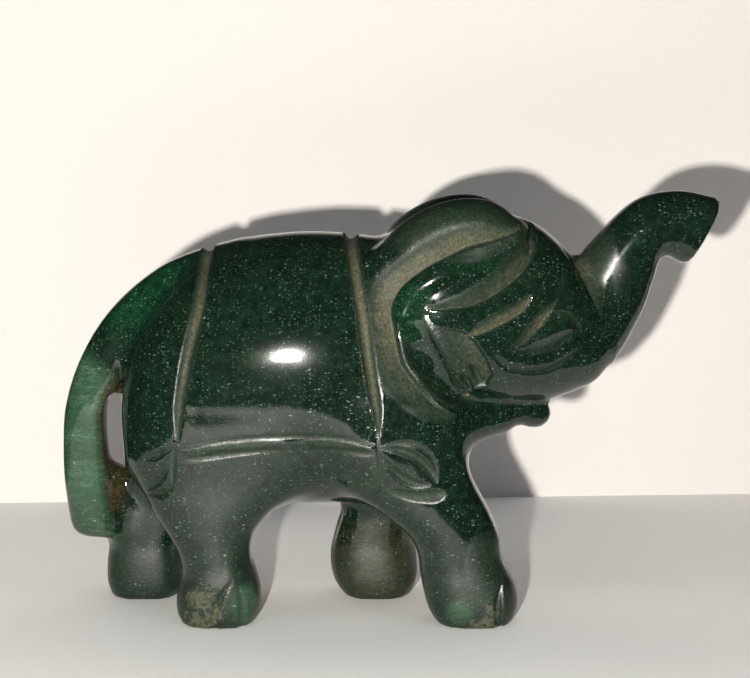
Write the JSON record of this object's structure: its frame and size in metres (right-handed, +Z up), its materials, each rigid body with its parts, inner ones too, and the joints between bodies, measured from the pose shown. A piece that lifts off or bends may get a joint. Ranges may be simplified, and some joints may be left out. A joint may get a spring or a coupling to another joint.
{
  "type": "carved stone elephant figurine",
  "caption": "Small polished green stone elephant, walking with trunk raised, with carved ears, eyes and saddle cloth; it stands on flat-cut soles.",
  "frame": {"origin": "on the ground plane of the four soles, under the middle of the figure", "axes": "+X from tail to head, +Y towards the elephant's left side, +Z up"},
  "size_m": [0.0832, 0.0289, 0.0535],
  "materials": {
    "jade": "high polish, with the carved lines left dull; translucent green where the stone is thin"
  },
  "bodies": {
    "root": {"carved_elephant": "jade"}
  },
  "joints": []
}
